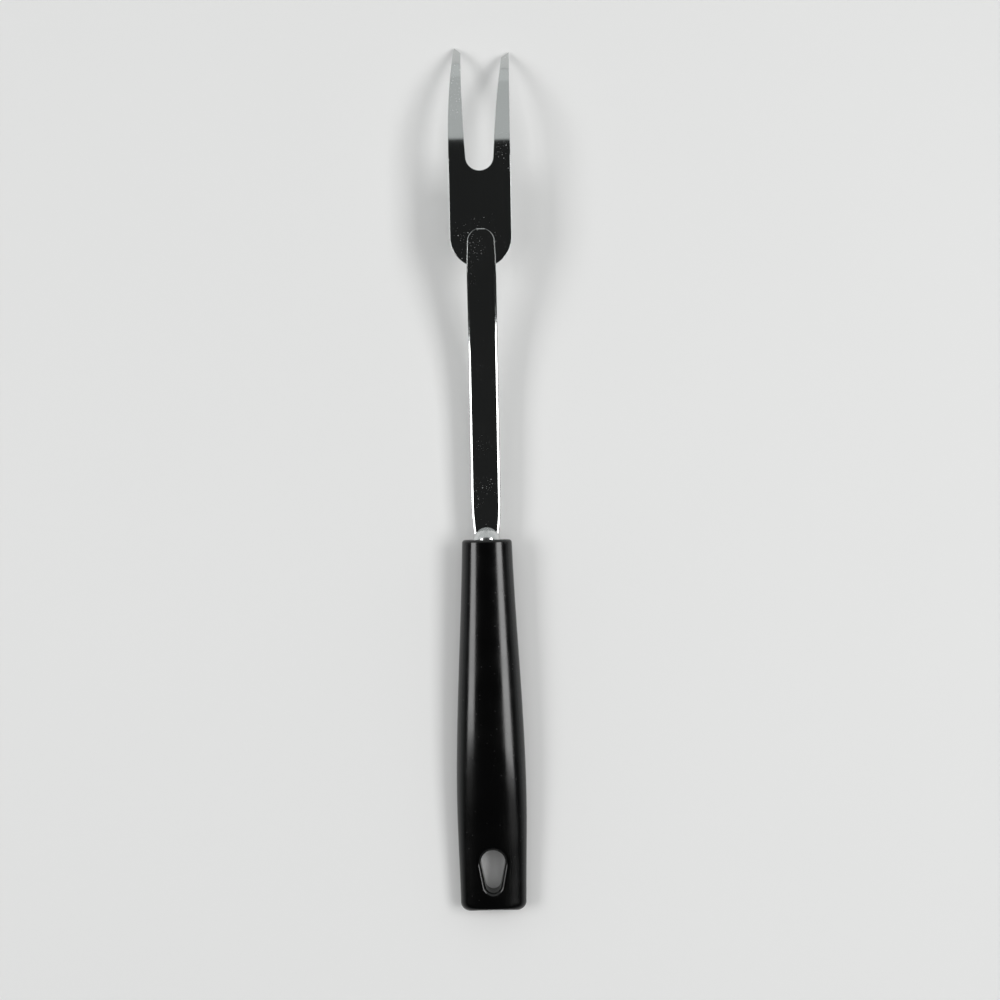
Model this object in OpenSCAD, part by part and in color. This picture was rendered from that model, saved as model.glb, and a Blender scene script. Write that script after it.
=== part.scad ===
// Carving fork for serving and turning roast meat.
// A stamped steel head with two tines is spot-welded under the rounded end of a bent steel strip.
// The strip's tang is held in a moulded handle, behind a small domed bolster.
// Y runs along the fork towards the tips, X to the right and Z up from the table.
// The fork lies as it does at rest, on its two tips and on the underside of its handle.

/* [Head] */
// Width of the head
head_w = 22.4; // [19:0.2:30]
// Thickness of the head's sheet
head_t = 1.5; // [1:0.1:2.5]
// Length of the level plate, from where the tines start to bend to its rounded end
plate_l = 39; // [30:0.5:55]
// Height of the plate's underside above the table
head_rise = 19.5; // [15:0.5:26]

/* [Tines] */
// Length of the curved tines, seen from above
tine_reach = 46; // [32:0.5:65]
// How much shorter the right tine is ground
right_short = 1.9; // [0:0.1:4]
// Width of the slot between the tines at its round root
slot_w = 10; // [7:0.1:12]
// Width of the slot between the tips
tip_gap = 15.4; // [12:0.1:18]
// How far the slot's round root runs into the level plate
slot_in_plate = 3.9; // [1:0.1:8]
// Width of a tine at its tip
tip_w = 2.5; // [1.5:0.1:4]
// Length of the slanted cut that makes the point on the outer side of each tip
tip_slant = 2.7; // [0.5:0.1:5]
// Height of the thinned steel at the very tip
tip_t = 1; // [0.6:0.1:2]
// How far both tips lean to the right
tip_lean = 1.3; // [-2:0.1:2]

/* [Shank] */
// Width of the strip
shank_w = 10.6; // [9:0.1:12.5]
// Thickness of the strip
shank_t = 1.8; // [1.2:0.1:2.8]
// Length of strip between the end of the head and the handle
shank_free = 98; // [80:1:150]
// Length of strip that lies on the head
overlap_l = 14; // [11:0.5:18]
// Width of the overlapping pad where its rounded end starts
pad_w = 9.9; // [7:0.1:10.5]
// Rounding of the strip's long edges
shank_edge = 0.8; // [0.3:0.05:0.9]
// Rounding of the pad's pressed edges
pad_edge = 0.25; // [0.1:0.05:0.5]
// Length of strip behind the head that keeps the pad's sharp edges
shoulder_l = 2; // [1:0.1:4]
// Radius of the bend where the strip leaves the head
bend_r = 9; // [5:0.5:15]
// Length of straight strip in front of the handle
straight_l = 43; // [20:1:55]
// Width of the neck at the handle's mouth
neck_w = 8.2; // [7.4:0.1:8.6]
// Length of the taper down to the neck
neck_l = 14; // [6:0.5:18]

/* [Tang] */
// Length of the tang inside the handle
tang_l = 62; // [30:1:80]
// Width of the tang
tang_w = 6.8; // [5:0.1:7.2]
// Width of the tang at its locking notches
notch_w = 4.6; // [3:0.1:5]
// Length of one locking notch
notch_l = 5; // [3:0.5:8]
// Clearance between the tang and the handle, on every side
tang_fit = 0.05; // [0.05:0.05:0.3]

/* [Welds] */
// Diameter of one spot weld
weld_d = 4; // [2:0.1:5]
// Distance between the two spot welds
weld_pitch = 5.6; // [5.2:0.1:6.5]
// Depth of the fused metal in each of the two pieces
weld_depth = 0.3; // [0.1:0.05:0.5]

/* [Bolster] */
// Diameter of the domed bolster
bolster_d = 9.9; // [9.4:0.1:11.5]
// Height of the dome in front of the handle
bolster_h = 4.6; // [3:0.1:4.7]
// Clearance between the bolster and the strip
bolster_fit = 0.1; // [0.05:0.05:0.3]

/* [Handle] */
// Length of the handle
handle_l = 137; // [115:1:160]
// Width of the handle at its mouth
mouth_w = 18.3; // [15:0.1:22]
// Greatest width of the handle
belly_w = 25.7; // [22:0.1:30]
// Distance from the mouth to the greatest width
belly_at = 96; // [70:1:105]
// Width of the handle at its end
end_w = 24.2; // [20:0.1:28]
// Widening of each side straight behind the mouth, as a slope
mouth_flare = 0.025; // [0:0.005:0.06]
// Thickness of the handle at its mouth
mouth_t = 12; // [10:0.1:15]
// Greatest thickness of the handle
belly_t = 13.8; // [12:0.1:17]
// Distance from the mouth to the greatest thickness
thick_at = 70; // [45:1:90]
// Thickness of the handle at its end
end_t = 9.6; // [8.5:0.1:12]
// Exponent of the handle's section: 2 is an ellipse, more is squarer
section_power = 2.25; // [2:0.05:3]
// Slope of the handle down towards its end, in degrees
handle_tilt = 1.7; // [0.5:0.1:3]
// Rounding of the mouth's rim
mouth_edge = 1.2; // [0.5:0.1:2]
// Rounding of the end's two corners, seen from above
corner_r = 3.2; // [2.5:0.1:5]
// Rounding of the end's upper and lower rims
end_edge = 2.2; // [1:0.1:2.5]
// Depth of the hollow in the end
end_hollow = 0.7; // [0.2:0.1:1.5]

/* [Hang hole] */
// Radius of the hole's wide end, on the side of the mouth
hole_r = 4.5; // [3.2:0.1:5.5]
// Radius of the hole's narrow end
hole_end_r = 2.9; // [2.2:0.1:3.1]
// Distance from the centre of the wide end to the end of the handle
hole_at = 18.5; // [17:0.5:26]
// Distance between the centres of the wide and the narrow end
hole_run = 8.4; // [6:0.1:9.5]
// Rounding of the hole's rims
hole_rim = 1.6; // [0.6:0.1:1.8]

/* [Hidden] */
$fn = 96;

// Places along the fork, measured from the middle of its length
total_l = tine_reach + plate_l + shank_free + handle_l;
tip_y = total_l / 2;
bend_y = tip_y - tine_reach;
plate_end_y = bend_y - plate_l;
pad_tip_y = plate_end_y + overlap_l;
mouth_y = plate_end_y - shank_free;
sweep_end_y = mouth_y + straight_l;
end_y = mouth_y - handle_l;
hole_y = end_y + hole_at;
plate_top = head_rise + head_t;
pad_z = plate_top + shank_t / 2;

// Counts of steps along the lofted and swept forms
ring_points = 40;
handle_steps = 26;
mouth_steps = 5;
end_steps = 7;
flare_steps = 4;
arc_steps = 14;
pad_steps = 7;
bend_steps = 5;
sweep_steps = 16;
neck_steps = 6;
corner_points = 3;
tine_steps = 12;
arc_fn = 240;

// How far a cutter runs past the face that it opens
past = 1;

function smooth(x) = x * x * (3 - 2 * x);
// Curve from a to b over a length l that leaves a with a slope and reaches b level
function ease(a, b, slope, l, x) = a + (b - a) * smooth(x) + slope * l * x * (1 - x) * (1 - x);
// How far a rounding of radius r draws a side in at the distance s from the end
function drawn_in(s, r) = s >= r ? 0 : r - sqrt(max(0, r * r - (r - s) * (r - s)));

// Half width and half thickness of the handle at the distance t from its mouth
function side(t) = t < belly_at
    ? ease(mouth_w / 2, belly_w / 2, mouth_flare, belly_at, t / belly_at)
    : ease(belly_w / 2, end_w / 2, 0, 1, (t - belly_at) / (handle_l - belly_at));
function depth(t) = t < thick_at
    ? ease(mouth_t / 2, belly_t / 2, 0, 1, t / thick_at)
    : ease(belly_t / 2, end_t / 2, 0, 1, (t - thick_at) / (handle_l - thick_at));
function rounded_side(t) = side(t) - drawn_in(t, mouth_edge) - drawn_in(handle_l - t, corner_r);
function rounded_depth(t) = depth(t) - drawn_in(t, mouth_edge) - drawn_in(handle_l - t, end_edge);

// The handle's middle line, set so that its underside just touches the table
function rise_from_end(t) = (handle_l - t) * tan(handle_tilt);
function reach_below(t) = rounded_depth(t) - rise_from_end(t);
underside_steps = 200;
end_z = max([for (i = [0:underside_steps]) reach_below(handle_l * i / underside_steps)]);
function middle_z(t) = end_z + rise_from_end(t);
// The tang and the straight strip lie on the same line
function line_z(y) = middle_z(mouth_y - y);

// Slope at which the strip leaves its first bend, found by halving, so that the long second
// bend brings it exactly onto the handle's middle line
sweep_run = plate_end_y - sweep_end_y;
sweep_drop = pad_z - line_z(sweep_end_y);
steepest = 60;
halvings = 40;
function drop_at(a) = bend_r * (1 - cos(a)) + (sweep_run - bend_r * sin(a)) * tan((a + handle_tilt) / 2);
function find_slope(low, high, n) = n == 0 ? (low + high) / 2 : let (middle = (low + high) / 2)
    drop_at(middle) < sweep_drop ? find_slope(middle, high, n - 1) : find_slope(low, middle, n - 1);
strip_slope = find_slope(handle_tilt, steepest, halvings);
sweep_r = (sweep_run - bend_r * sin(strip_slope)) / (sin(strip_slope) - sin(handle_tilt));

// One station of the strip: place along the fork, height, slope and half width
nose_angle = 7;
function pad_stations() = concat(
    [for (i = [0:pad_steps]) let (a = 90 * i / pad_steps)
        [pad_tip_y - pad_w / 2 * (1 - cos(a)), pad_z, 0, pad_w / 2 * sin(max(a, nose_angle))]],
    [[plate_end_y, pad_z, 0, shank_w / 2]]);
function bend_stations() = [for (i = [1:bend_steps]) let (a = strip_slope * i / bend_steps)
    [plate_end_y - bend_r * sin(a), pad_z - bend_r * (1 - cos(a)), a, shank_w / 2]];
function sweep_stations() = [for (i = [1:sweep_steps])
    let (a = strip_slope + (handle_tilt - strip_slope) * i / sweep_steps)
    [sweep_end_y + sweep_r * (sin(a) - sin(handle_tilt)),
        line_z(sweep_end_y) + sweep_r * (cos(handle_tilt) - cos(a)), a, shank_w / 2]];
function neck_stations() = [for (i = [0:neck_steps])
    let (x = i / neck_steps, y = mouth_y - neck_seat + (neck_l + neck_seat) * (1 - x))
    [y, line_z(y), handle_tilt, shank_w / 2 - (shank_w - neck_w) / 2 * x * x]];
function tang_stations() = [for (s = tang_outline) let (y = mouth_y - s[0])
    [y, line_z(y), handle_tilt, s[1] / 2]];

// How far the neck runs into the mouth, and the length of the slants at the tang's steps
neck_seat = 0.4;
slant = 0.5;
// Outline of the tang: distance behind the mouth and width, with two locking notches
notch_y = tang_l / 2;
tang_outline = concat(
    [[neck_seat + slant, tang_w]],
    [for (s = [notch_y - 1.5 * notch_l, notch_y + 0.5 * notch_l])
        each [[s, tang_w], [s + slant, notch_w], [s + notch_l - slant, notch_w], [s + notch_l, tang_w]]],
    [[tang_l - notch_l / 2, tang_w], [tang_l, notch_w]]);
strip_stations = concat(pad_stations(), bend_stations(), sweep_stations(), neck_stations(), tang_stations());

// Section of the strip across its length: a rectangle with rounded edges, grown by gap
round_share = 0.98;
function edge_at(y) = y > plate_end_y - shoulder_l ? pad_edge : shank_edge;
function strip_ring(s, gap) =
    let (w = s[3] + gap, h = shank_t / 2 + gap, r = min(edge_at(s[0]) + gap, round_share * min(w, h)))
    [for (c = [0:3], k = [0:corner_points - 1]) let (a = 90 * c + 90 * k / (corner_points - 1),
            x = (c == 0 || c == 3 ? w - r : r - w) + r * cos(a), n = (c < 2 ? h - r : r - h) + r * sin(a))
        [x, s[0] - n * sin(s[2]), s[1] + n * cos(s[2])]];

// Closed skin over a row of rings with the same number of points
module skin(rings) {
    n = len(rings[0]);
    last = (len(rings) - 1) * n;
    sides = [for (i = [0:len(rings) - 2], j = [0:n - 1])
        let (a = i * n + j, b = i * n + (j + 1) % n) each [[a, a + n, b + n], [a, b + n, b]]];
    polyhedron([for (ring = rings) each ring],
        concat(sides, [[for (j = [0:n - 1]) j], [for (j = [n - 1:-1:0]) last + j]]), convexity = 8);
}

module strip(gap) {
    skin([for (s = strip_stations) strip_ring(s, gap)]);
}

// Seen from above, length of the left (-1) or the right (1) tine
function reach(s) = tine_reach - (s > 0 ? right_short : 0);

// The slot's round root, and the share of a tine's length that runs straight before it narrows
root_y = bend_y - slot_in_plate + slot_w / 2;
straight_share = 0.13;
function bow(u) = pow(max(0, u - straight_share) / (1 - straight_share), 2);

// Outline of one tine, with u running from 0 at the bend to 1 at the tip
module tine_outline(s) {
    narrowing = head_w / 2 - tip_gap / 2 - tip_w;
    widening = (tip_gap - slot_w) / 2;
    root = (root_y - bend_y) / reach(s);
    function outer_x(u) = s * (head_w / 2 - narrowing * bow(u)) + tip_lean * bow(u);
    function slot_x(u) = s * (slot_w / 2 + widening * max(0, u - root) / (1 - root)) + tip_lean * bow(u);
    inner_end = 1 - tip_slant / reach(s);
    outer_side = [for (i = [0:tine_steps]) i / tine_steps];
    slot_side = [for (i = [tine_steps:-1:0]) inner_end * i / tine_steps];
    polygon(concat([for (u = outer_side) [outer_x(u), bend_y + reach(s) * u]],
        [for (u = slot_side) [slot_x(u), bend_y + reach(s) * u]]));
}

// A tine: its outline bent down between two arcs that leave the plate level
module tine(s) {
    under_r = reach(s) / sin(2 * atan(head_rise / reach(s)));
    over_r = reach(s) / sin(2 * atan((plate_top - tip_t) / reach(s)));
    module roller(top, r, h) {
        translate([r - top, 0, 0]) cylinder(r = r, h = h, center = true, $fn = arc_fn);
    }
    intersection() {
        linear_extrude(plate_top) tine_outline(s);
        translate([0, bend_y, 0]) rotate([0, 90, 0]) difference() {
            roller(plate_top, over_r, 2 * head_w);
            roller(head_rise, under_r, 3 * head_w);
        }
    }
}

// The two spot welds, halfway through the face where the head and the strip meet
module weld_discs() {
    for (i = [-1, 1])
        translate([0, plate_end_y + (overlap_l + i * weld_pitch) / 2, plate_top - weld_depth])
            cylinder(d = weld_d, h = 2 * weld_depth);
}

module fork_head() {
    color([0.72, 0.74, 0.75]) difference() {
        union() {
            for (s = [-1, 1]) tine(s);
            translate([0, 0, head_rise]) linear_extrude(head_t) {
                translate([-head_w / 2, plate_end_y + head_w / 2]) square([head_w, plate_l - head_w / 2]);
                translate([0, plate_end_y + head_w / 2]) circle(d = head_w);
            }
        }
        translate([0, root_y, head_rise - past]) cylinder(d = slot_w, h = head_t + 2 * past);
        weld_discs();
    }
}

module shank() {
    color([0.66, 0.68, 0.7]) difference() {
        strip(0);
        weld_discs();
    }
}

module spot_welds() {
    color([0.5, 0.5, 0.52]) weld_discs();
}

// Spherical dome that stands on the handle's mouth and is slotted for the strip
module bolster() {
    base_r = bolster_d / 2;
    dome_r = (base_r * base_r + bolster_h * bolster_h) / (2 * bolster_h);
    color([0.8, 0.81, 0.82]) difference() {
        translate([0, mouth_y, line_z(mouth_y)]) intersection() {
            translate([0, bolster_h - dome_r, 0]) sphere(r = dome_r);
            translate([-base_r, 0, -base_r]) cube([bolster_d, bolster_h, bolster_d]);
        }
        strip(bolster_fit);
    }
}

// Outline of the hang hole grown by g: the arcs of a wide and a narrow circle, joined by the
// straight sides that touch both
function teardrop(g) = let (a = asin((hole_r - hole_end_r) / hole_run)) concat(
    [for (i = [0:arc_steps]) let (b = (180 + 2 * a) * i / arc_steps - a)
        [(hole_r + g) * cos(b), (hole_r + g) * sin(b)]],
    [for (i = [0:arc_steps]) let (b = 180 + a + (180 - 2 * a) * i / arc_steps)
        [(hole_end_r + g) * cos(b), (hole_end_r + g) * sin(b) - hole_run]]);

// Height of the handle's upper (1) or lower (-1) face at x and at the distance t behind the mouth
function face_z(face, x, t) =
    middle_z(t) + face * depth(t) * pow(1 - pow(abs(x) / side(t), section_power), 1 / section_power);

// Cutter for the hang hole: it flares out to both crowned faces, which it follows all the way
// round, so that its rims are evenly rounded
flare_lift = 0.1;
function flare_ring(face, i) = let (
        a = 90 * i / flare_steps,
        below = (hole_rim + flare_lift) * (1 - sin(a)) - flare_lift)
    [for (p = teardrop(hole_rim * (1 - cos(a)))) let (y = hole_y + p[1])
        [p[0], y, face_z(face, p[0], mouth_y - y) - face * below]];
function outer_ring(z) = [for (p = teardrop(hole_rim)) [p[0], hole_y + p[1], z]];
module hang_hole() {
    skin(concat(
        [outer_ring(-past)],
        [for (i = [flare_steps:-1:0]) flare_ring(-1, i)],
        [for (i = [0:flare_steps]) flare_ring(1, i)],
        [outer_ring(middle_z(0) + belly_t)]));
}

// Distances behind the mouth at which the handle has a ring
handle_rings = concat(
    [for (i = [0:mouth_steps - 1]) mouth_edge * (1 - cos(90 * i / mouth_steps))],
    [for (i = [0:handle_steps]) mouth_edge + (handle_l - corner_r - mouth_edge) * i / handle_steps],
    [for (i = [1:end_steps]) handle_l - corner_r + corner_r * sin(90 * i / end_steps)]);

module handle_body() {
    function part(c) = sign(c) * pow(abs(c), 2 / section_power);
    skin([for (t = handle_rings) [for (j = [0:ring_points - 1]) let (a = 360 * j / ring_points)
        [rounded_side(t) * part(cos(a)), mouth_y - t, middle_z(t) + rounded_depth(t) * part(sin(a))]]]);
}

module handle() {
    half = end_w / 2 - corner_r;
    hollow_r = (half * half + end_hollow * end_hollow) / (2 * end_hollow);
    color([0.05, 0.05, 0.055]) difference() {
        handle_body();
        strip(tang_fit);
        hang_hole();
        translate([0, end_y + end_hollow - hollow_r, -past])
            cylinder(r = hollow_r, h = 2 * belly_t, $fn = arc_fn);
    }
}

fork_head();
shank();
spot_welds();
bolster();
handle();
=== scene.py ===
# Carving fork: polished steel head and shank, a bright domed bolster and a black moulded handle.
# Y runs along the fork to its tips, X to the right and Z up from the table, as in the frame.
import math

import bmesh
import bpy
import numpy as np
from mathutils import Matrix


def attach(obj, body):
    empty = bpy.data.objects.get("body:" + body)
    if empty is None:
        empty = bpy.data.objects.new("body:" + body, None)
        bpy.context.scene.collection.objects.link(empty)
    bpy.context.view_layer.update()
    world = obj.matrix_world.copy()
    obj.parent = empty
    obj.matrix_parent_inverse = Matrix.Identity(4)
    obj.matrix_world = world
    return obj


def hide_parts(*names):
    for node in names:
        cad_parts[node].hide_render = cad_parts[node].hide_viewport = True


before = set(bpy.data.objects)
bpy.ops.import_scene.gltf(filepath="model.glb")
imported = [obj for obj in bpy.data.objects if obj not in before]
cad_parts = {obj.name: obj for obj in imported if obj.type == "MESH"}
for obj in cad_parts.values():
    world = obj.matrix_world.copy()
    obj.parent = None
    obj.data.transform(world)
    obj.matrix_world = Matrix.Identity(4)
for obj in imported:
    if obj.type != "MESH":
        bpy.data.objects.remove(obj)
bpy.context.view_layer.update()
print("frame loaded")

mm = 0.001  # every size below is in millimetres and goes through this

# Where the pieces lie along the fork, and the heights that more than one of them uses
fork = {
    "tipY": 160.0,
    "bendY": 114.0,
    "plateEndY": 75.0,
    "mouthY": -23.0,
    "plateUnder": 19.5,
    "plateTop": 21.0,
    "stripT": 1.8,
    "handleTilt": 1.7,
    "handleL": 137.0,
}


def smoothStep(x):
    return x * x * (3 - 2 * x)


def ease(a, b, slope, length, x):
    # from a to b over a length: leaves a with a slope and reaches b level
    return a + (b - a) * smoothStep(x) + slope * length * x * (1 - x) ** 2


def drawnIn(s, r):
    # how far a rounding of radius r draws a side in at the distance s from the end
    inside = np.clip(r - s, 0, r)
    return r - np.sqrt(np.maximum(0, r * r - inside * inside))


def buildMesh(name, points, faces):
    # points in millimetres; doubles are merged and the normals point out
    data = bpy.data.meshes.new(name)
    data.from_pydata([tuple(float(c) * mm for c in p) for p in points], [], faces)
    soup = bmesh.new()
    soup.from_mesh(data)
    bmesh.ops.remove_doubles(soup, verts=soup.verts, dist=0.0005 * mm)
    bmesh.ops.dissolve_degenerate(soup, edges=soup.edges, dist=0.0001 * mm)
    bmesh.ops.recalc_face_normals(soup, faces=soup.faces)
    openEdges = sum(1 for e in soup.edges if len(e.link_faces) != 2)
    soup.to_mesh(data)
    soup.free()
    data.shade_smooth()
    piece = bpy.data.objects.new(name, data)
    bpy.context.scene.collection.objects.link(piece)
    print(name, "faces", len(data.polygons), "open edges", openEdges)
    return piece


def keepFlats(piece, sharpAngle):
    # flat faces stay flat in the shading, and edges above the angle stay crisp
    piece.data.set_sharp_from_angle(angle=math.radians(sharpAngle))
    flats = piece.modifiers.new("keepFlats", "WEIGHTED_NORMAL")
    flats.mode = "FACE_AREA"
    flats.weight = 100
    flats.keep_sharp = True


class Shader:
    def __init__(self, name):
        self.material = bpy.data.materials.new(name)
        self.material.use_nodes = True
        self.tree = self.material.node_tree
        self.tree.nodes.clear()
        self.output = self.add("ShaderNodeOutputMaterial")
        self.surface = self.add("ShaderNodeBsdfPrincipled")
        self.link(self.surface, "BSDF", self.output, "Surface")
        self.place = self.add("ShaderNodeTexCoord")

    def add(self, kind, **values):
        node = self.tree.nodes.new(kind)
        for key, value in values.items():
            setattr(node, key, value)
        return node

    def link(self, a, outName, b, inName):
        self.tree.links.new(a.outputs[outName], b.inputs[inName])

    def mapped(self, scale, move=(0, 0, 0)):
        node = self.add("ShaderNodeMapping")
        node.inputs["Scale"].default_value = scale
        node.inputs["Location"].default_value = move
        self.link(self.place, "Object", node, "Vector")
        return node

    def noise(self, scale, detail=4, rough=0.55, stretch=(1, 1, 1), move=(0, 0, 0)):
        node = self.add("ShaderNodeTexNoise")
        node.inputs["Scale"].default_value = scale
        node.inputs["Detail"].default_value = detail
        node.inputs["Roughness"].default_value = rough
        self.link(self.mapped(stretch, move), "Vector", node, "Vector")
        return node, "Fac"

    def dots(self, scale, size, seedMove, stretch=(1, 1, 1)):
        # 1 inside round specks of the given share of a cell, 0 outside
        node = self.add("ShaderNodeTexVoronoi")
        node.inputs["Scale"].default_value = scale
        self.link(self.mapped(stretch, seedMove), "Vector", node, "Vector")
        return self.ramp((node, "Distance"), size, size * 0.6, 0.0, 1.0)

    def ramp(self, source, low, high, toLow, toHigh):
        node = self.add("ShaderNodeMapRange")
        node.inputs["From Min"].default_value = low
        node.inputs["From Max"].default_value = high
        node.inputs["To Min"].default_value = toLow
        node.inputs["To Max"].default_value = toHigh
        self.link(source[0], source[1], node, "Value")
        return node, "Result"

    def maths(self, operation, a, b):
        node = self.add("ShaderNodeMath", operation=operation)
        for i, value in enumerate((a, b)):
            if isinstance(value, tuple):
                self.tree.links.new(value[0].outputs[value[1]], node.inputs[i])
            else:
                node.inputs[i].default_value = value
        return node, "Value"

    def blend(self, share, a, b):
        node = self.add("ShaderNodeMix", data_type="RGBA")
        self.tree.links.new(share[0].outputs[share[1]], node.inputs[0])
        for i, value in ((6, a), (7, b)):
            if isinstance(value[0], bpy.types.Node):
                self.tree.links.new(value[0].outputs[value[1]], node.inputs[i])
            else:
                node.inputs[i].default_value = (*value, 1)
        return node, 2

    def feed(self, source, socket):
        self.tree.links.new(source[0].outputs[source[1]], self.surface.inputs[socket])

    def bump(self, source, depth, strength=1.0):
        node = self.add("ShaderNodeBump")
        node.inputs["Strength"].default_value = strength
        node.inputs["Distance"].default_value = depth
        self.tree.links.new(source[0].outputs[source[1]], node.inputs["Height"])
        if self.surface.inputs["Normal"].is_linked:
            before = self.surface.inputs["Normal"].links[0].from_socket
            self.tree.links.new(before, node.inputs["Normal"])
        self.link(node, "Normal", self.surface, "Normal")


def polishedSteel(name, values):
    shader = Shader(name)
    s = shader.surface
    s.inputs["Metallic"].default_value = 1.0
    # worn mirror polish: lengthwise polishing lines, fine scratches, dull specks
    lines, haze = shader.noise(1, 3, 0.6, (2600, 36, 2600)), shader.noise(90, 5, 0.6)
    hairs = shader.noise(1, 2, 0.5, (5200, 150, 5200), (3.1, 0.4, 0))
    specks = shader.dots(620, values["speckSize"], (0.31, 0.17, 0.0))
    flecks = shader.dots(1500, values["speckSize"] * 0.9, (0.05, 0.4, 0.2))
    marks = shader.maths("MAXIMUM", specks, flecks)
    patchy = shader.ramp(shader.noise(55, 3, 0.5, (1, 1, 1), (0.2, 0.1, 0)), 0.5, 0.62, 0.0, 1.0)
    marks = shader.maths("MULTIPLY", marks, patchy)
    colour = shader.blend(haze, values["colour"], values["colourDull"])
    colour = shader.blend(marks, colour, values["speckColour"])
    shader.feed(colour, "Base Color")
    rough = shader.ramp(haze, 0.3, 0.75, values["roughness"], values["roughness"] * 1.5)
    rough = shader.maths("ADD", rough, shader.ramp(lines, 0.55, 0.8, 0.0, values["lineRoughness"]))
    rough = shader.maths("ADD", rough, shader.maths("MULTIPLY", marks, values["speckRoughness"]))
    shader.feed(rough, "Roughness")
    shader.bump(hairs, values["hairDepth"] * mm)
    shader.bump(lines, values["lineDepth"] * mm)
    return shader


head = {
    "width": 22.4,
    "slotRoot": 10.0,
    "tipGap": 15.4,
    "tipW": 2.5,
    "slant": 2.7,
    "tipT": 1.0,
    "lean": 1.3,
    "rightShort": 1.9,
    "slotInPlate": 3.9,
    "straightShare": 0.13,
    "edge": 0.22,
    "edgeSteps": 4,
    "tineSteps": 90,
    "arcSteps": 48,
}


def tineEdges(side, y):
    # outer and slot side of one tine at y
    reach = fork["tipY"] - fork["bendY"] - (head["rightShort"] if side > 0 else 0)
    u = (y - fork["bendY"]) / reach
    root = (head["slotRoot"] / 2 - head["slotInPlate"]) / reach
    bow = (max(0.0, u - head["straightShare"]) / (1 - head["straightShare"])) ** 2
    narrowing = head["width"] / 2 - head["tipGap"] / 2 - head["tipW"]
    outer = side * (head["width"] / 2 - narrowing * bow) + head["lean"] * bow
    widening = (head["tipGap"] - head["slotRoot"]) / 2
    slot = side * (head["slotRoot"] / 2 + widening * max(0.0, u - root) / (1 - root)) + head["lean"] * bow
    return outer, slot, reach


def headOutline():
    # closed outline, anticlockwise from above, with tine points in pairs at the same y
    def tine(side):
        _, _, reach = tineEdges(side, fork["bendY"])
        cutY = fork["bendY"] + reach - head["slant"]
        tipY = fork["bendY"] + reach
        ys = [fork["bendY"] + (cutY - fork["bendY"]) * i / head["tineSteps"]
            for i in range(head["tineSteps"] + 1)]
        ys += [cutY + head["slant"] * i / 8 for i in range(1, 9)]
        tipX = tineEdges(side, tipY)[0]
        cutX = tineEdges(side, cutY)[1]
        outer = [(tineEdges(side, y)[0], y) for y in ys]
        inner = [(tineEdges(side, y)[1] if y <= cutY else cutX + (tipX - cutX)
            * (y - cutY) / (tipY - cutY), y) for y in ys]
        return outer, inner[:-1]

    rightOuter, rightInner = tine(1)
    leftOuter, leftInner = tine(-1)
    rootY = fork["bendY"] - head["slotInPlate"] + head["slotRoot"] / 2
    r = head["slotRoot"] / 2
    n = head["arcSteps"]
    # the plate's rounded end, a half circle across its full width; the slot root's half circle, made in
    # buildHead, starts where the tapering slot side reaches its width
    half = head["width"] / 2
    endArc = [(half * math.cos(a), fork["plateEndY"] + half + half * math.sin(a))
        for a in (math.pi + math.pi * i / n for i in range(n + 1))]
    return rightOuter, rightInner, leftOuter, leftInner, endArc, rootY


def headHeights(x, y):
    # under and upper face of the bent sheet
    if y <= fork["bendY"]:
        return fork["plateUnder"], fork["plateTop"]
    reach = tineEdges(1 if x > 0 else -1, y)[2]
    s = y - fork["bendY"]
    underR = reach / math.sin(2 * math.atan(fork["plateUnder"] / reach))
    overR = reach / math.sin(2 * math.atan((fork["plateTop"] - head["tipT"]) / reach))
    under = fork["plateUnder"] - underR + math.sqrt(underR**2 - s**2)
    over = fork["plateTop"] - overR + math.sqrt(overR**2 - s**2)
    return max(0.0, under), over


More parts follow.
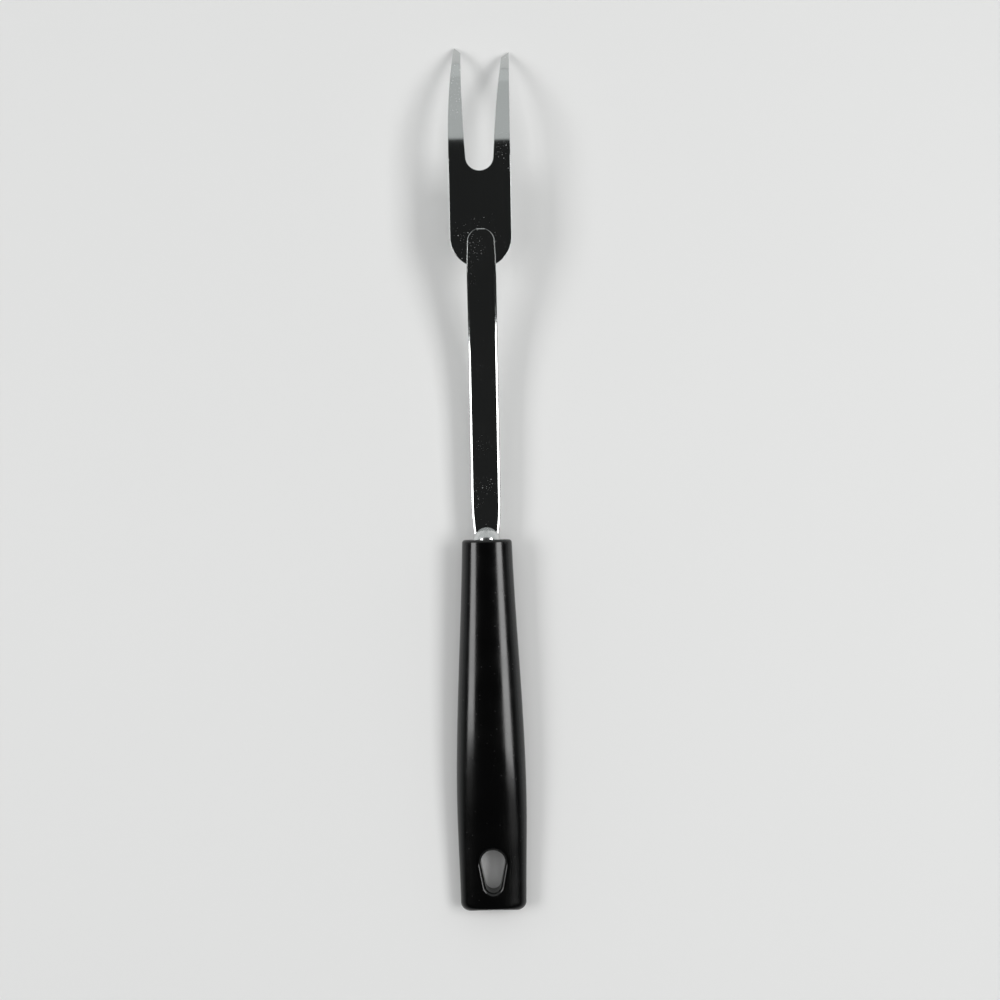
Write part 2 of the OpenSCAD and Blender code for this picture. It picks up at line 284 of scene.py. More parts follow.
def buildHead():
    rightOuter, rightInner, leftOuter, leftInner, endArc, rootY = headOutline()
    r = head["slotRoot"] / 2
    n = head["arcSteps"]
    # the slot's root: its half circle is centred ahead of the bend line, so the arc starts on the tines
    rootArc = []
    for i in range(n + 1):
        a = -math.pi * i / n
        rootArc.append((r * math.cos(a), rootY + r * math.sin(a)))
    rootArc = [p for p in rootArc if p[1] < fork["bendY"] - 1e-6]
    rows = len(rightOuter)

    def rootSide(side, points):
        # below the root's centre the slot side is the circle
        out = []
        for x, y in points:
            if y < rootY:
                x = side * math.sqrt(max(0.0, r * r - (y - rootY) ** 2))
            out.append((x, y))
        return out

    rightInner, leftInner = rootSide(1, rightInner), rootSide(-1, leftInner)
    loop = rightOuter + rightInner[::-1] + rootArc + leftInner + leftOuter[::-1]
    # down the left side, round the end and up the right side
    straight = 12
    sideTop, sideLow = fork["bendY"], fork["plateEndY"] + head["width"] / 2
    half = head["width"] / 2
    leftSide = [(-half, sideTop + (sideLow - sideTop) * i / straight) for i in range(1, straight)]
    rightSide = [(half, sideLow + (sideTop - sideLow) * i / straight) for i in range(1, straight)]
    loop += leftSide + endArc + rightSide
    count = len(loop)
    flat = np.array(loop)
    before, after = np.roll(flat, 1, 0), np.roll(flat, -1, 0)

    def unit(v):
        return v / np.maximum(np.linalg.norm(v, axis=1, keepdims=True), 1e-9)

    d1, d2 = unit(flat - before), unit(after - flat)
    n1 = np.stack([d1[:, 1], -d1[:, 0]], 1)
    n2 = np.stack([d2[:, 1], -d2[:, 0]], 1)
    out = unit(n1 + n2)
    miter = 1 / np.clip((out * n1).sum(1), 0.45, 1)
    steps = head["edgeSteps"]
    e = head["edge"]
    levels = [(e * (1 - math.sin(math.pi / 2 * k / steps)), e
        * (1 - math.cos(math.pi / 2 * k / steps))) for k in range(steps + 1)]
    # (inset, depth below the face), from the flat face to the side wall
    points, faces = [], []
    for face in (1, -1):
        for inset, depth in levels if face > 0 else levels[::-1]:
            for i in range(count):
                x, y = flat[i] - out[i] * miter[i] * inset
                under, over = headHeights(flat[i][0], y)
                d = min(depth, (over - under) * 0.45)
                points.append((x, y, over - d if face > 0 else under + d))
    rings = 2 * len(levels)
    for k in range(rings - 1):
        for i in range(count):
            j = (i + 1) % count
            faces.append((k * count + i, (k + 1) * count + i, (k + 1) * count + j, k * count + j))
    # upper and under faces: pairs across each tine, and one flat face for the plate
    ro = list(range(0, rows))
    ri = list(range(2 * rows - 2, rows - 1, -1))
    start = 2 * rows - 1 + len(rootArc)
    li = list(range(start, start + rows - 1))
    lo = list(range(start + 2 * rows - 2, start + rows - 2, -1))
    for k, turn in ((0, 1), (rings - 1, -1)):
        base = k * count
        for o, inn in ((ro, ri), (lo, li)):
            for i in range(rows - 2):
                faces.append([base + v for v in (o[i], o[i + 1], inn[i + 1], inn[i])])
            faces.append([base + v for v in (o[rows - 2], o[rows - 1], inn[rows - 2])])
        plate = [ri[0]] + list(range(ri[0] + 1, li[0])) + [li[0]] + list(range(lo[0], count)) + [ro[0]]
        faces.append([base + v for v in plate])
    return points, faces


headSteel = polishedSteel(
    "headSteel",
    {
        "colour": (0.60, 0.615, 0.61),
        "colourDull": (0.56, 0.575, 0.57),
        "speckColour": (0.75, 0.76, 0.76),
        "speckSize": 0.16,
        "roughness": 0.07,
        "lineRoughness": 0.05,
        "speckRoughness": 0.35,
        "hairDepth": 0.0004,
        "lineDepth": 0.0006,
    },
)
headPiece = buildMesh("tinedHead", *buildHead())
headPiece.data.materials.append(headSteel.material)
keepFlats(headPiece, 40)
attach(headPiece, "root")
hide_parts("fork_head")
print("head built")


shank = {
    "width": 10.6,
    "padW": 9.9,
    "overlap": 14.0,
    "padEdge": 0.25,
    "padDrop": 0.2,
    "edge": 0.85,
    "edgeDrop": 0.34,
    "edgePower": 1.2,
    "shoulderY": 73.0,
    "shoulderL": 1.4,
    "bendR": 9.0,
    "straightL": 43.0,
    "neckW": 8.2,
    "neckL": 14.0,
    "tangL": 62.0,
    "tangW": 6.8,
    "notchW": 4.6,
    "notchL": 5.0,
    "cornerPoints": 9,
}

slopeTan = math.tan(math.radians(fork["handleTilt"]))


def shankPath(middleZ):
    # stations along the strip: y, z, slope, half width, width and depth of its rolled edges
    half = shank["width"] / 2
    tilt = math.radians(fork["handleTilt"])
    padZ = fork["plateTop"] + fork["stripT"] / 2
    tipY = fork["plateEndY"] + shank["overlap"]
    sweepEndY = fork["mouthY"] + shank["straightL"]
    sweepEndZ = middleZ(fork["mouthY"] - sweepEndY)
    run, drop = fork["plateEndY"] - sweepEndY, padZ - sweepEndZ
    low, high = tilt, math.radians(60)
    for _ in range(50):
        a = (low + high) / 2
        reached = shank["bendR"] * (1 - math.cos(a)) + (run - shank["bendR"]
            * math.sin(a)) * math.tan((a + tilt) / 2)
        low, high = (a, high) if reached < drop else (low, a)
    steep = (low + high) / 2
    sweepR = (run - shank["bendR"] * math.sin(steep)) / (math.sin(steep) - math.sin(tilt))

    def edgeAt(y):
        x = min(1, max(0, (shank["shoulderY"] + shank["shoulderL"] / 2 - y) / shank["shoulderL"]))
        return [shank[pad] + (shank[free] - shank[pad]) * smoothStep(x) for pad,
            free in (("padEdge", "edge"), ("padDrop", "edgeDrop"))]

    rows = []
    for i in range(1, 25):
        a = math.pi / 2 * i / 24
        rows.append((tipY - shank["padW"] / 2 * (1 - math.cos(a)), padZ, 0, shank["padW"] / 2 * math.sin(a)))
    for i in range(1, 13):
        x = i / 12
        y = tipY - shank["padW"] / 2 - (shank["overlap"] - shank["padW"] / 2) * x
        rows.append((y, padZ, 0, shank["padW"] / 2 + (half - shank["padW"] / 2) * x))
    for i in range(1, 31):
        a = steep * i / 30
        rows.append((fork["plateEndY"] - shank["bendR"] * math.sin(a), padZ - shank["bendR"]
            * (1 - math.cos(a)), a, half))
    for i in range(1, 81):
        a = steep + (tilt - steep) * i / 80
        rows.append((sweepEndY + sweepR * (math.sin(a) - math.sin(tilt)), sweepEndZ + sweepR
            * (math.cos(tilt) - math.cos(a)), a, half))
    for i in range(0, 31):
        x = i / 30
        y = fork["mouthY"] - 0.4 + (shank["neckL"] + 0.4) * (1 - x)
        rows.append((y, middleZ(fork["mouthY"] - y), tilt, half - (shank["width"] - shank["neckW"]) / 2
            * x * x))
    mid, notch = shank["tangL"] / 2, shank["notchL"]
    tang = [(0.9, shank["tangW"])]
    for s in (mid - 1.5 * notch, mid + 0.5 * notch):
        tang += [(s, shank["tangW"]), (s + 0.5, shank["notchW"]), (s + notch - 0.5, shank["notchW"]),
            (s + notch, shank["tangW"])]
    tang += [(shank["tangL"] - notch / 2, shank["tangW"]), (shank["tangL"], shank["notchW"])]
    for s, w in tang:
        rows.append((fork["mouthY"] - s, middleZ(s), tilt, w / 2))
    return [(y, z, a, w, *edgeAt(y)) for y, z, a, w in rows]


def stripTree(material):
    # sweeps a rectangle with rounded edges along a path whose points carry slope, half width and edge
    tree = bpy.data.node_groups.new("sweptStrip", "GeometryNodeTree")
    tree.is_modifier = True
    face = tree.interface
    face.new_socket("Path", in_out="INPUT", socket_type="NodeSocketGeometry")
    for label, value in (("Strip Thickness", 0.0018), ("Edge Share", 0.98), ("Edge Power", 2.0)):
        face.new_socket(label, in_out="INPUT", socket_type="NodeSocketFloat").default_value = value
    face.new_socket("Corner Points", in_out="INPUT", socket_type="NodeSocketInt").default_value = 9
    face.new_socket("Strip", in_out="OUTPUT", socket_type="NodeSocketGeometry")
    nodes, links = tree.nodes, tree.links

    def put(kind, **values):
        node = nodes.new(kind)
        for key, value in values.items():
            setattr(node, key, value)
        return node

    def math2(operation, a, b=None, c=None):
        node = put("ShaderNodeMath", operation=operation)
        for i, value in enumerate((a, b, c)):
            if value is None:
                continue
            if isinstance(value, bpy.types.NodeSocket):
                links.new(value, node.inputs[i])
            else:
                node.inputs[i].default_value = value
        return node.outputs[0]

    def named(label):
        node = put("GeometryNodeInputNamedAttribute", data_type="FLOAT")
        node.inputs["Name"].default_value = label
        return node.outputs["Attribute"]

    given, made = put("NodeGroupInput"), put("NodeGroupOutput")
    rail = put("GeometryNodeMeshToCurve")
    links.new(given.outputs["Path"], rail.inputs[0])
    # the place of each path point travels to the ring that is swept there
    keepPlace = put("GeometryNodeCaptureAttribute")
    keepPlace.capture_items.new("VECTOR", "Place")
    links.new(rail.outputs["Curve"], keepPlace.inputs["Geometry"])
    links.new(put("GeometryNodeInputPosition").outputs[0], keepPlace.inputs["Place"])
    # ring: as many points as four corners have, numbered so that each knows its corner and its step
    corner = given.outputs["Corner Points"]
    ring = put("GeometryNodeCurvePrimitiveCircle")
    links.new(math2("MULTIPLY", corner, 4.0), ring.inputs["Resolution"])
    ring.inputs["Radius"].default_value = 0.001
    keepNumber = put("GeometryNodeCaptureAttribute")
    keepNumber.capture_items.new("FLOAT", "Number")
    links.new(ring.outputs["Curve"], keepNumber.inputs["Geometry"])
    links.new(put("GeometryNodeInputIndex").outputs[0], keepNumber.inputs["Number"])
    sweep = put("GeometryNodeCurveToMesh")
    links.new(keepPlace.outputs["Geometry"], sweep.inputs["Curve"])
    links.new(keepNumber.outputs["Geometry"], sweep.inputs["Profile Curve"])
    sweep.inputs["Fill Caps"].default_value = True
    number = keepNumber.outputs["Number"]
    quarter = math2("FLOOR", math2("DIVIDE", math2("ADD", number, 0.5), corner))
    step = math2("SUBTRACT", number, math2("MULTIPLY", quarter, corner))
    within = math2("DIVIDE", step, math2("SUBTRACT", corner, 1.0))
    angle = math2("MULTIPLY", math2("ADD", quarter, within), math.pi / 2)
    centreAngle = math2("MULTIPLY", math2("ADD", quarter, 0.5), math.pi / 2)
    signX = math2("SIGN", math2("COSINE", centreAngle))
    signN = math2("SIGN", math2("SINE", centreAngle))
    halfWidth, slope = named("halfWidth"), named("slope")
    halfThick = math2("MULTIPLY", given.outputs["Strip Thickness"], 0.5)
    most = math2("MULTIPLY", math2("MINIMUM", halfWidth, halfThick), given.outputs["Edge Share"])
    edge = math2("MINIMUM", named("edgeWidth"), most)
    drop = math2("MINIMUM", named("edgeDepth"), most)
    exponent = math2("DIVIDE", 2.0, given.outputs["Edge Power"])

    def rolled(wave, sign, flat, size):
        # corner of a superellipse, from the end of the flat outwards
        bend = math2("POWER", math2("ABSOLUTE", math2(wave, angle)), exponent)
        return math2("MULTIPLY", sign, math2("ADD", flat, math2("MULTIPLY", size, bend)))

    across = rolled("COSINE", signX, math2("SUBTRACT", halfWidth, edge), edge)
    up = rolled("SINE", signN, math2("SUBTRACT", halfThick, drop), drop)
    split = put("ShaderNodeSeparateXYZ")
    links.new(keepPlace.outputs["Place"], split.inputs[0])
    join = put("ShaderNodeCombineXYZ")
    links.new(across, join.inputs[0])
    links.new(math2("SUBTRACT", split.outputs[1], math2("MULTIPLY", up, math2("SINE", slope))),
        join.inputs[1])
    links.new(math2("ADD", split.outputs[2], math2("MULTIPLY", up, math2("COSINE", slope))), join.inputs[2])
    place = put("GeometryNodeSetPosition")
    links.new(sweep.outputs["Mesh"], place.inputs["Geometry"])
    links.new(join.outputs[0], place.inputs["Position"])
    smooth = put("GeometryNodeSetShadeSmooth")
    links.new(place.outputs["Geometry"], smooth.inputs["Geometry"])
    real = put("GeometryNodeRealizeInstances")
    links.new(smooth.outputs["Geometry"], real.inputs["Geometry"])
    paint = put("GeometryNodeSetMaterial")
    paint.inputs["Material"].default_value = material
    links.new(real.outputs["Geometry"], paint.inputs["Geometry"])
    links.new(paint.outputs["Geometry"], made.inputs[0])
    return tree


def growStrip(name, path, material):
    data = bpy.data.meshes.new(name + "Path")
    data.from_pydata([(0, y * mm, z * mm) for y, z, *_ in path],
        [(i, i + 1) for i in range(len(path) - 1)], [])
    for label, column, unit in (("slope", 2, 1), ("halfWidth", 3, mm), ("edgeWidth", 4, mm),
        ("edgeDepth", 5, mm)):
        layer = data.attributes.new(label, "FLOAT", "POINT")
        layer.data.foreach_set("value", [row[column] * unit for row in path])
    holder = bpy.data.objects.new(name + "Path", data)
    bpy.context.scene.collection.objects.link(holder)
    tree = stripTree(material)
    modifier = holder.modifiers.new("sweep", "NODES")
    modifier.node_group = tree
    wanted = {
        "Strip Thickness": fork["stripT"] * mm,
        "Edge Power": shank["edgePower"],
        "Corner Points": shank["cornerPoints"],
    }
    for item in tree.interface.items_tree:
        if item.in_out == "INPUT" and item.name in wanted:
            modifier[item.identifier] = wanted[item.name]
    graph = bpy.context.evaluated_depsgraph_get()
    grown = bpy.data.meshes.new_from_object(holder.evaluated_get(graph))
    holder.modifiers.remove(modifier)
    bpy.data.objects.remove(holder)
    soup = bmesh.new()
    soup.from_mesh(grown)
    bmesh.ops.recalc_face_normals(soup, faces=soup.faces)
    openEdges = sum(1 for e in soup.edges if len(e.link_faces) != 2)
    soup.to_mesh(grown)
    soup.free()
    for label in ("slope", "halfWidth", "edgeWidth", "edgeDepth"):
        if label in grown.attributes:
            grown.attributes.remove(grown.attributes[label])
    grown.shade_smooth()
    piece = bpy.data.objects.new(name, grown)
    bpy.context.scene.collection.objects.link(piece)
    print(name, "faces", len(grown.polygons), "open edges", openEdges)
    return piece


handle = {
    "mouthW": 18.3,
    "bellyW": 25.7,
    "bellyAt": 96.0,
    "endW": 24.2,
    "mouthFlare": 0.025,
    "mouthT": 12.0,
    "bellyT": 13.8,
    "thickAt": 70.0,
    "endT": 9.6,
    "power": 2.0,
    "mouthEdge": 1.2,
    "cornerR": 3.2,
    "endEdge": 2.2,
    "endHollow": 0.7,
    "holeR": 4.5,
    "holeEndR": 2.9,
    "holeAt": 18.5,
    "holeRun": 8.4,
    "holeRim": 1.6,
    "topPoints": 72,  # points from one side over the top to the other
    "rings": 84,  # rings in front of the hang hole's part
    "sideRows": 44,
    "fanRows": 26,
    "rimRows": 12,
    "wallRows": 6,
    "holePartL": 34.0,  # length of the part that the hang hole's mesh fans out over
}
handleL = fork["handleL"]


def halfWidthAt(t):
    t = np.asarray(t, float)
    front = ease(handle["mouthW"] / 2, handle["bellyW"] / 2, handle["mouthFlare"], handle["bellyAt"],
        t / handle["bellyAt"])
    back = ease(handle["bellyW"] / 2, handle["endW"] / 2, 0, 1,
        (t - handle["bellyAt"]) / (handleL - handle["bellyAt"]))
    return np.where(t < handle["bellyAt"], front, back)


def halfDepthAt(t):
    t = np.asarray(t, float)
    front = ease(handle["mouthT"] / 2, handle["bellyT"] / 2, 0, 1, t / handle["thickAt"])
    back = ease(handle["bellyT"] / 2, handle["endT"] / 2, 0, 1,
        (t - handle["thickAt"]) / (handleL - handle["thickAt"]))
    return np.where(t < handle["thickAt"], front, back)


def roundedWidth(t):
    return halfWidthAt(t) - drawnIn(t, handle["mouthEdge"]) - drawnIn(handleL - t, handle["cornerR"])


def roundedDepth(t):
    return halfDepthAt(t) - drawnIn(t, handle["mouthEdge"]) - drawnIn(handleL - t, handle["endEdge"])


lengthwise = np.linspace(0, handleL, 201)
endZ = float(np.max(roundedDepth(lengthwise) - (handleL - lengthwise) * slopeTan))


def middleZ(t):
    return endZ + (handleL - t) * slopeTan


def power(c):
    return np.sign(c) * np.abs(c) ** (2 / handle["power"])


def backwards(w):
    # place along the handle from a coordinate that runs evenly round the end's corner
    start = handleL - handle["cornerR"]
    angle = np.clip((w - start) / handle["cornerR"], 0, math.pi / 2)
    return np.where(w < start, w, start + handle["cornerR"] * np.sin(angle))


def skinPoint(a, w, face):
    # a in degrees from the right side (0) over the face's middle (90) to the left side (180)
    t = backwards(np.asarray(w, float))
    a = np.radians(np.asarray(a, float))
    x = roundedWidth(t) * power(np.cos(a))
    z = middleZ(t) + face * roundedDepth(t) * power(np.sin(a))
    half = handle["endW"] / 2 - handle["cornerR"]
    closeToEnd = np.clip((t - handleL + handle["endEdge"]) / handle["endEdge"], 0, 1) ** 2
    y = fork["mouthY"] - t + handle["endHollow"] * np.maximum(0, 1 - (x / half) ** 2) * closeToEnd
    return np.stack([x, y, z], -1)


def faceHeight(x, y, face):
    t = fork["mouthY"] - y
    return middleZ(t) + face * halfDepthAt(t) * (1 - np.abs(x / halfWidthAt(t)) ** handle["power"]) ** (1 / handle["power"])


holeY = fork["mouthY"] - handleL + handle["holeAt"]
fanY = holeY - handle["holeRun"] * 0.45  # centre of the hole's fan of points


def tearOutline(grow, directions):
    # the two circles and their shared tangents, met by rays from the fan's centre
    a = math.asin((handle["holeR"] - handle["holeEndR"]) / handle["holeRun"])
    wide = np.linspace(-a, math.pi + a, 400)
    narrow = np.linspace(math.pi + a, 2 * math.pi - a, 400)
    x = np.concatenate([(handle["holeR"] + grow) * np.cos(wide), (handle["holeEndR"] + grow)
        * np.cos(narrow)])
    y = np.concatenate([(handle["holeR"] + grow) * np.sin(wide), (handle["holeEndR"] + grow)
        * np.sin(narrow) - handle["holeRun"]])
    # fill the straight sides with points
    xs, ys = [], []
    for i in range(len(x)):
        j = (i + 1) % len(x)
        steps = max(1, int(math.hypot(x[j] - x[i], y[j] - y[i]) / 0.02))
        for k in range(steps):
            xs.append(x[i] + (x[j] - x[i]) * k / steps)
            ys.append(y[i] + (y[j] - y[i]) * k / steps)
    xs, ys = np.array(xs), np.array(ys) + holeY - fanY
    angles = np.unwrap(np.arctan2(ys, xs))
    radius = np.hypot(xs, ys)
    order = np.argsort(angles % (2 * math.pi))
    return np.interp(directions % (2 * math.pi), (angles % (2 * math.pi))[order], radius[order],
        period=2 * math.pi)


def buildHandle():
    n = handle["topPoints"]
    fanStart = handleL - handle["holePartL"]
    wEnd = handleL - handle["cornerR"] + handle["cornerR"] * math.pi / 2
    across = np.linspace(0, 180, n + 1)
    points, faces = [], []

    def grid(block):
        # block[row][column] of places, joined by quads
        rows, columns = block.shape[:2]
        base = len(points)
        points.extend(block.reshape(-1, 3))
        for i in range(rows - 1):
            for j in range(columns - 1):
                a = base + i * columns + j
                faces.append((a, a + 1, a + columns + 1, a + columns))

    mouth = handle["mouthEdge"] * (1 - np.cos(np.linspace(0, math.pi / 2, 13)))
    front = np.concatenate([mouth, np.linspace(handle["mouthEdge"], fanStart, handle["rings"])[1:]])
    for face in (1, -1):
        grid(np.array([skinPoint(across, np.full(n + 1, t), face) for t in front]))
    # mouth's flat, and the end's hollow, both as rows between the upper and the lower half
    for w, rows in ((0.0, 8), (wEnd, 8)):
        top, low = (skinPoint(across, np.full(n + 1, w), face) for face in (1, -1))
        share = np.linspace(0, 1, rows + 1)[:, None, None]
        grid(top[None] * (1 - share) + low[None] * share)
    # the part round the hang hole: from its outer border to the hole's rim
    side = np.linspace(fanStart, wEnd, handle["sideRows"] + 1)
    borderA = np.concatenate([across, np.full(handle["sideRows"] - 1, 180.0), across[::-1],
        np.full(handle["sideRows"] - 1, 0.0)])
    borderW = np.concatenate([np.full(n + 1, fanStart), side[1:-1], np.full(n + 1, wEnd), side[1:-1][::-1]])
    borderA, borderW = np.append(borderA, borderA[0]), np.append(borderW, borderW[0])
    # directions from the fan's centre to the border's points
    plan = skinPoint(borderA, borderW, 1)
    directions = np.unwrap(np.arctan2(plan[:, 1] - fanY, plan[:, 0]))

    def holeLoop(grow):
        r = tearOutline(grow, directions)
        return r * np.cos(directions), fanY + r * np.sin(directions)

    rimX, rimY = holeLoop(handle["holeRim"])
    rimT = fork["mouthY"] - rimY
    rimA = np.degrees(np.arccos(np.clip(np.sign(rimX)
        * np.abs(rimX / halfWidthAt(rimT)) ** (handle["power"] / 2), -1, 1)))
    walls = []
    for face in (1, -1):
        rows = []
        for share in np.linspace(0, 1, handle["fanRows"] + 1):
            share = share ** 1.15
            rows.append(skinPoint(rimA * share + borderA * (1 - share), rimT * share + borderW
                * (1 - share), face))
        for k in range(1, handle["rimRows"] + 1):
            a = math.pi / 2 * (1 - k / handle["rimRows"])
            x, y = holeLoop(handle["holeRim"] * (1 - math.cos(a)))
            z = faceHeight(x, y, face) - face * handle["holeRim"] * (1 - math.sin(a))
            rows.append(np.stack([x, y, z], -1))
        grid(np.array(rows))
        walls.append(rows[-1])
    share = np.linspace(0, 1, handle["wallRows"] + 1)[:, None, None]
    grid(walls[0][None] * (1 - share) + walls[1][None] * share)
    return points, faces


def blackPlastic():
    shader = Shader("mouldedBlack")
    s = shader.surface
    s.inputs["Base Color"].default_value = (0.001, 0.001, 0.0011, 1)
    s.inputs["IOR"].default_value = 1.52
    haze = shader.noise(70, 4, 0.6)
    grain = shader.noise(1400, 3, 0.6)
    scuffs = shader.noise(1, 3, 0.6, (1500, 60, 400), (0.3, 0.1, 0.2))
    specks = shader.dots(420, 0.1, (0.11, 0.2, 0.07))
    rough = shader.ramp(haze, 0.3, 0.75, 0.13, 0.22)
    rough = shader.maths("ADD", rough, shader.ramp(scuffs, 0.6, 0.85, 0.0, 0.12))
    rough = shader.maths("ADD", rough, shader.maths("MULTIPLY", specks, 0.25))
    shader.feed(rough, "Roughness")
    shader.bump(grain, 0.0012 * mm)
    shader.bump(haze, 0.004 * mm)
    return shader


plastic = blackPlastic()
handlePiece = buildMesh("mouldedHandle", *buildHandle())
handlePiece.data.materials.append(plastic.material)
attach(handlePiece, "root")
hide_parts("handle")
print("handle built")

shankSteel = polishedSteel(
    "shankSteel",
    {
        "colour": (0.60, 0.615, 0.61),
        "colourDull": (0.56, 0.575, 0.57),
        "speckColour": (0.75, 0.76, 0.76),
        "speckSize": 0.2,
        "roughness": 0.08,
        "lineRoughness": 0.05,
        "speckRoughness": 0.35,
        "hairDepth": 0.0004,
        "lineDepth": 0.0006,
    },
)
shankPiece = growStrip("sweptShank", shankPath(middleZ), shankSteel.material)
keepFlats(shankPiece, 50)
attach(shankPiece, "root")
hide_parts("shank")
print("shank built")


bolster = {"width": 9.9, "height": 4.6, "rows": 40, "points": 96, "lip": 0.15}


def buildBolster():
    # spherical dome on the handle's mouth, closed at its pole and by a flat foot
    base, high = bolster["width"] / 2, bolster["height"]
    r = (base * base + high * high) / (2 * high)
    full = math.acos((r - high) / r)
    points, faces = [(0, high, 0)], []
    rings = [(r * math.sin(full * i / bolster["rows"]), high - r + r
        * math.cos(full * i / bolster["rows"])) for i in range(1, bolster["rows"] + 1)]
    count = bolster["points"]
    for radius, y in rings:
        points += [(radius * math.cos(2 * math.pi * j / count), y, radius
            * math.sin(2 * math.pi * j / count)) for j in range(count)]
    points.append((0, 0, 0))
    last = len(points) - 1
    for j in range(count):
        k = (j + 1) % count
        faces.append((0, 1 + j, 1 + k))
        for i in range(len(rings) - 1):
            a = 1 + i * count
            faces.append((a + j, a + count + j, a + count + k, a + k))
        a = 1 + (len(rings) - 1) * count
        faces.append((last, a + k, a + j))
    seatZ = middleZ(0)
    return [(x, fork["mouthY"] + y, seatZ + z) for x, y, z in points], faces


bolsterSteel = polishedSteel(
    "bolsterSteel",
    {
        "colour": (0.72, 0.73, 0.73),
        "colourDull": (0.62, 0.63, 0.63),
        "speckColour": (0.4, 0.4, 0.4),
        "speckSize": 0.22,
        "roughness": 0.16,
        "lineRoughness": 0.05,
        "speckRoughness": 0.3,
        "hairDepth": 0.0008,
        "lineDepth": 0.001,
    },
)
bolsterPiece = buildMesh("domedBolster", *buildBolster())
bolsterPiece.data.materials.append(bolsterSteel.material)
keepFlats(bolsterPiece, 40)
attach(bolsterPiece, "root")
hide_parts("bolster")

weldSteel = polishedSteel(
    "weldSteel",
    {
        "colour": (0.5, 0.5, 0.51),
        "colourDull": (0.42, 0.42, 0.43),
        "speckColour": (0.3, 0.3, 0.3),
        "speckSize": 0.25,
        "roughness": 0.35,
        "lineRoughness": 0.1,
        "speckRoughness": 0.2,
        "hairDepth": 0.001,
        "lineDepth": 0.001,
    },
)
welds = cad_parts["spot_welds"]
welds.data.materials.clear()
welds.data.materials.append(weldSteel.material)
print("bolster and welds finished")


studio = {
    "tableColour": (0.80, 0.80, 0.795),
    "tableHalf": 3.0,
    "lampHeight": 1.2,
    # side lamps: middle and width as angles from straight up, ends along Y, radiance
    "rightLamp": {"angle": 39.0, "spread": 19.0, "fromY": -0.51, "toY": 0.5, "level": 6.6},
    "leftLamp": {"angle": -45.5, "spread": 19.0, "fromY": -0.436, "toY": 0.5, "level": 6.0},
    "topPower": 7.0,
    "northTan": 0.51,
    "northGrey": 0.62,
    "lowNorthGrey": 0.72,
    "horizonGrey": 0.55,
    "zenithGrey": 0.02,
}


def buildTable():
    data = bpy.data.meshes.new("paleTable")
    h = studio["tableHalf"]
    data.from_pydata([(-h, -h, -0.00003), (h, -h, -0.00003), (h, h, -0.00003), (-h, h, -0.00003)], [],
        [(0, 1, 2, 3)])
    table = bpy.data.objects.new("paleTable", data)
    bpy.context.scene.collection.objects.link(table)
    shader = Shader("paleTable")
    shader.surface.inputs["Roughness"].default_value = 0.75
    c = studio["tableColour"]
    mottle = shader.noise(9, 3, 0.5)
    shader.feed(shader.blend(mottle, c, tuple(v * 0.985 for v in c)), "Base Color")
    data.materials.append(shader.material)


def addLamp(name, place, size, power, seenInGloss):
    # a soft box that faces the fork's middle
    lamp = bpy.data.lights.new(name, "AREA")
    lamp.shape = "RECTANGLE"
    lamp.size, lamp.size_y = size
    lamp.energy = power
    holder = bpy.data.objects.new(name, lamp)
    holder.location = place
    holder.rotation_euler = (0, math.atan2(place[0], place[2]), 0)
    holder.visible_glossy = seenInGloss
    holder.visible_camera = False
    bpy.context.scene.collection.objects.link(holder)


def addSideLamp(name, values):
    angle, spread = math.radians(values["angle"]), math.radians(values["spread"])
    high = studio["lampHeight"]
    place = (high * math.tan(angle), (values["fromY"] + values["toY"]) / 2, high)
    size = (2 * high / math.cos(angle) * math.tan(spread / 2), values["toY"] - values["fromY"])
    addLamp(name, place, size, math.pi * size[0] * size[1] * values["level"], True)


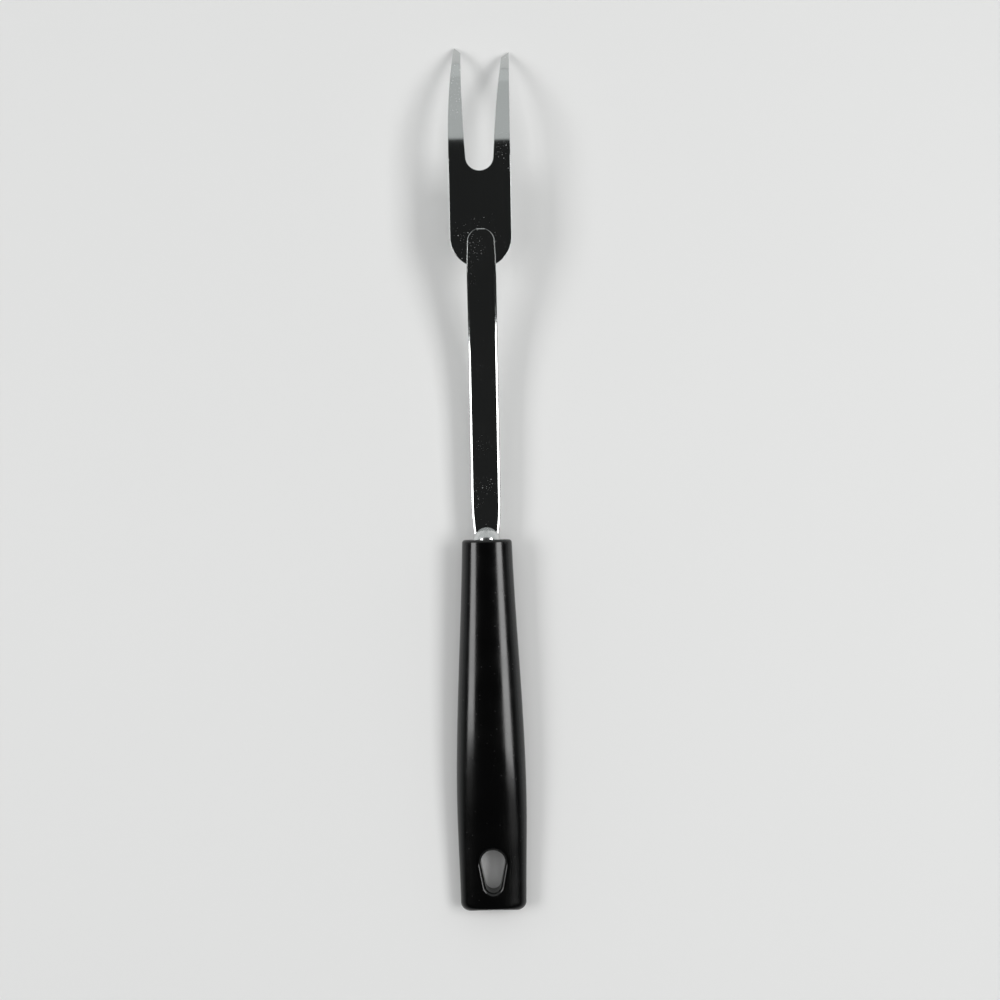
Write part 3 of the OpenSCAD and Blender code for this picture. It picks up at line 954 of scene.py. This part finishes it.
def buildSky():
    world = bpy.data.worlds.new("studio")
    bpy.context.scene.world = world
    world.use_nodes = True
    tree = world.node_tree
    tree.nodes.clear()

    def put(kind, **values):
        node = tree.nodes.new(kind)
        for key, value in values.items():
            setattr(node, key, value)
        return node

    def math2(operation, a, b):
        node = put("ShaderNodeMath", operation=operation)
        for i, value in enumerate((a, b)):
            if isinstance(value, bpy.types.NodeSocket):
                tree.links.new(value, node.inputs[i])
            else:
                node.inputs[i].default_value = value
        return node.outputs[0]

    def ramp(source, low, high, toLow, toHigh):
        node = put("ShaderNodeMapRange")
        for label, value in (("From Min", low), ("From Max", high), ("To Min", toLow), ("To Max", toHigh)):
            node.inputs[label].default_value = value
        tree.links.new(source, node.inputs["Value"])
        return node.outputs["Result"]

    way = put("ShaderNodeTexCoord")
    split = put("ShaderNodeSeparateXYZ")
    tree.links.new(way.outputs["Generated"], split.inputs[0])
    up = math2("MAXIMUM", split.outputs[2], 0.001)
    northTan = math2("DIVIDE", split.outputs[1], up)
    north = ramp(northTan, studio["northTan"] - 0.01, studio["northTan"] + 0.01, studio["zenithGrey"],
        studio["northGrey"])
    low = ramp(northTan, 4.2, 4.5, 0.0, studio["lowNorthGrey"])
    horizon = ramp(split.outputs[2], 0.45, 0.1, 0.0, studio["horizonGrey"])
    level = math2("MAXIMUM", math2("MAXIMUM", north, low), horizon)
    glow = put("ShaderNodeBackground")
    tree.links.new(level, glow.inputs["Strength"])
    glow.inputs["Color"].default_value = (0.97, 1.0, 0.995, 1)
    pale = put("ShaderNodeBackground")
    pale.inputs["Color"].default_value = (0.86, 0.86, 0.855, 1)
    pale.inputs["Strength"].default_value = 1.0
    rays = put("ShaderNodeLightPath")
    mix = put("ShaderNodeMixShader")
    tree.links.new(rays.outputs["Is Camera Ray"], mix.inputs[0])
    tree.links.new(glow.outputs[0], mix.inputs[1])
    tree.links.new(pale.outputs[0], mix.inputs[2])
    out = put("ShaderNodeOutputWorld")
    tree.links.new(mix.outputs[0], out.inputs[0])


buildTable()
buildSky()
addSideLamp("rightSoftBox", studio["rightLamp"])
addSideLamp("leftSoftBox", studio["leftLamp"])
addLamp("overhead", (0, 0, 1.6), (1.8, 1.8), studio["topPower"], False)
print("table and light set")

camera = {"x": 5.11, "y": -8.6, "z": 575.0, "roll": -1.09, "lens": 55.5}
eye = bpy.data.cameras.new("overheadCamera")
eye.sensor_width = 36.0
eye.lens = camera["lens"]
eye.clip_start, eye.clip_end = 0.01, 50.0
stand = bpy.data.objects.new("overheadCamera", eye)
stand.location = (camera["x"] * mm, camera["y"] * mm, camera["z"] * mm)
stand.rotation_euler = (0, 0, math.radians(camera["roll"]))
bpy.context.scene.collection.objects.link(stand)
bpy.context.scene.camera = stand
bpy.context.scene.view_settings.view_transform = "Standard"
print("camera set")
